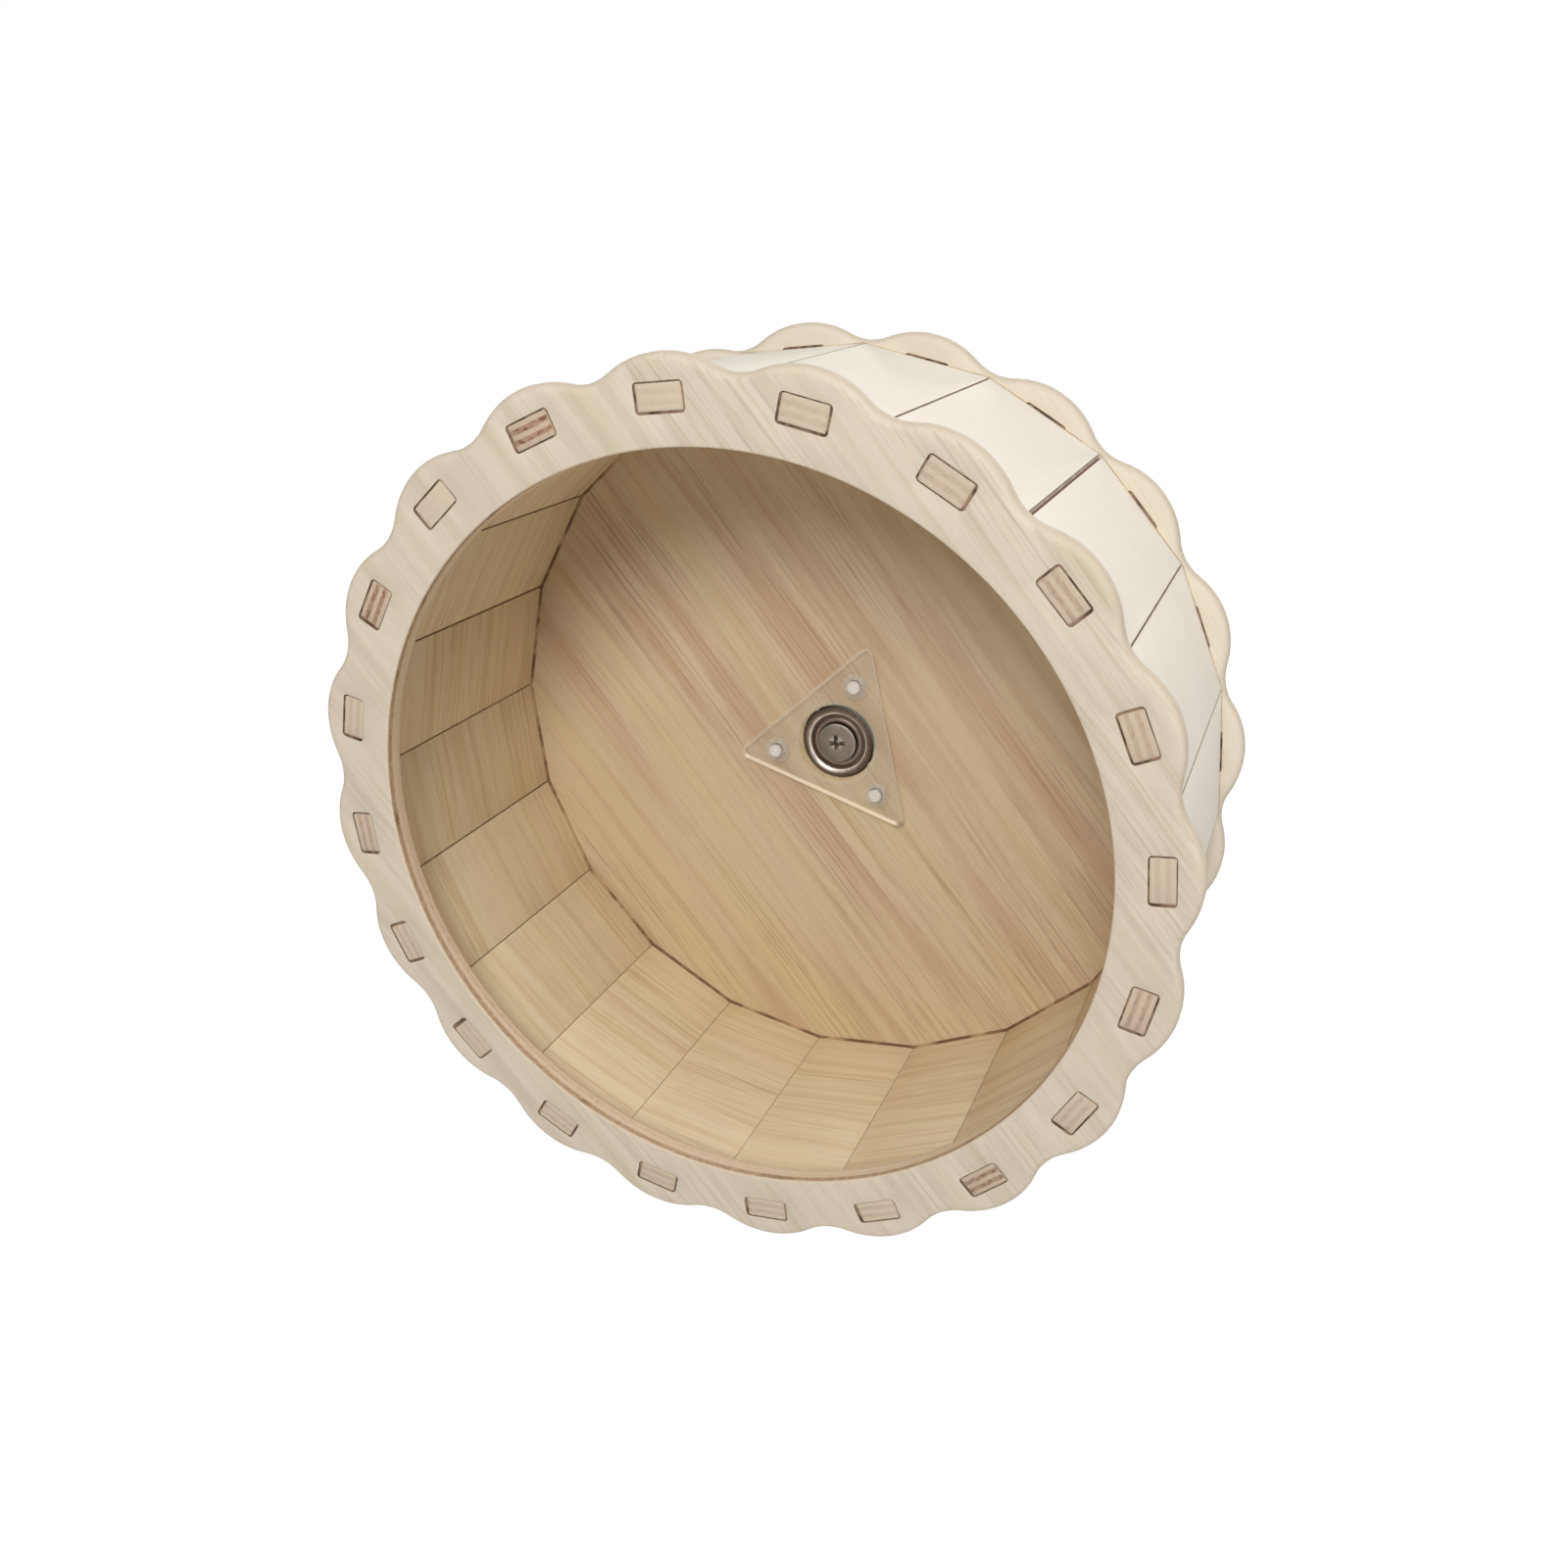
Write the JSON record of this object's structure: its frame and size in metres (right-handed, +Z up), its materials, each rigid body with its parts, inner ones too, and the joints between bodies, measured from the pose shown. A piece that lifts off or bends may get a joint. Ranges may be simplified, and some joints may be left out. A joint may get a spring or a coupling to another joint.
{
  "type": "hamster wheel",
  "caption": "Open plywood running wheel with scalloped rims and tenoned slats, turning on a shielded ball bearing and a screw that clamps to a cage wall.",
  "frame": {"origin": "on the axle, halfway between the front face of the mouth ring and the tip of the axle screw", "axes": "+Y along the axle from the open mouth towards the cage wall, +Z up, +X to the right seen from the mouth"},
  "size_m": [0.1992, 0.1086, 0.1992],
  "materials": {
    "ring_ply": "sanded bare poplar plywood",
    "disc_ply": "sanded bare plywood, straight grain",
    "slat_ply": "sanded bare plywood, grain round the drum",
    "clear_acrylic": "clear polished acrylic",
    "clear_rivet": "clear moulded plastic",
    "bearing_steel": "ground bearing steel",
    "cage_steel": "pressed steel",
    "shield_steel": "pressed bright steel",
    "screw_steel": "zinc plate, worn round the recess",
    "zinc_steel": "zinc plate"
  },
  "bodies": {
    "axle": {"axle_screw": "screw_steel", "axle_lock_nut": "zinc_steel", "bearing_inner_race": "bearing_steel", "clamp_washer_inner": "zinc_steel"},
    "wheel": {"front_ring": "ring_ply", "back_disc": "disc_ply", "slat_01": "slat_ply", "slat_02": "slat_ply", "slat_03": "slat_ply", "slat_04": "slat_ply", "slat_05": "slat_ply", "slat_06": "slat_ply", "slat_07": "slat_ply", "slat_08": "slat_ply", "slat_09": "slat_ply", "slat_10": "slat_ply", "slat_11": "slat_ply", "slat_12": "slat_ply", "slat_13": "slat_ply", "slat_14": "slat_ply", "slat_15": "slat_ply", "slat_16": "slat_ply", "slat_17": "slat_ply", "slat_18": "slat_ply", "slat_19": "slat_ply", "slat_20": "slat_ply", "hub_plate_front": "clear_acrylic", "hub_plate_rear": "clear_acrylic", "rivet_1": "clear_rivet", "rivet_2": "clear_rivet", "rivet_3": "clear_rivet", "rivet_cap_1": "clear_rivet", "rivet_cap_2": "clear_rivet", "rivet_cap_3": "clear_rivet", "bearing_outer_race": "bearing_steel", "bearing_shield_front": "shield_steel", "bearing_shield_rear": "shield_steel"},
    "ball_set": {"bearing_ball_1": "bearing_steel", "bearing_ball_2": "bearing_steel", "bearing_ball_3": "bearing_steel", "bearing_ball_4": "bearing_steel", "bearing_ball_5": "bearing_steel", "bearing_ball_6": "bearing_steel", "bearing_ball_7": "bearing_steel", "bearing_cage": "cage_steel"},
    "clamp_washer": {"clamp_washer_outer": "zinc_steel"},
    "wing_nut": {"wing_nut": "zinc_steel"}
  },
  "joints": [
    {"name": "wheel_spin", "type": "hinge", "parent": "axle", "child": "wheel", "pos_m": [0, 0.02265, 0], "axis": [0, 1, 0], "continuous": true},
    {"name": "ball_orbit", "type": "hinge", "parent": "axle", "child": "ball_set", "pos_m": [0, 0.02265, 0], "axis": [0, 1, 0], "continuous": true},
    {"name": "washer_slide", "type": "slide", "parent": "axle", "child": "clamp_washer", "axis": [0, 1, 0], "range_m": [-0.0031, 0.0051]},
    {"name": "wing_nut_turn", "type": "hinge", "parent": "clamp_washer", "child": "wing_nut", "pos_m": [0, 0.03975, 0], "axis": [0, 1, 0], "range_deg": [-1080, 1800]}
  ],
  "couplings": [
    {"joint": "ball_orbit", "follows": "wheel_spin", "ratio": 0.64},
    {"joint": "washer_slide", "follows": "wing_nut_turn", "m_per_rad": 0.00015915}
  ]
}
